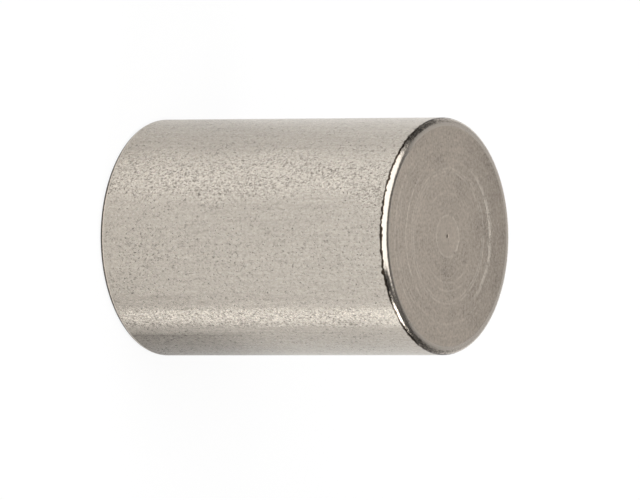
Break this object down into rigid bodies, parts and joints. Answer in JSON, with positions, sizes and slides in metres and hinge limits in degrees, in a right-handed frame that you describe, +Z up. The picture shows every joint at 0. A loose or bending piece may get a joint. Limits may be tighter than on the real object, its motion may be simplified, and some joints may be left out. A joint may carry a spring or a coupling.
{
  "type": "cylinder magnet",
  "caption": "Solid round cylinder magnet in silvery metal, with rounded polished rims, a pitted side and a lathe-turned flat end; clings end-on to steel boards and tools.",
  "frame": {"origin": "centre of the bottom end face", "axes": "+Z up along the cylinder's axis, towards the turned end face with the centre pip; X and Y lie in the end face"},
  "size_m": [0.014, 0.014, 0.02],
  "materials": {
    "bare_metal": "satin silvery metal with a warm tint: fine pits on the side, polished rims, faint turning rings on the top face"
  },
  "bodies": {
    "root": {"magnet_body": "bare_metal"}
  },
  "joints": []
}
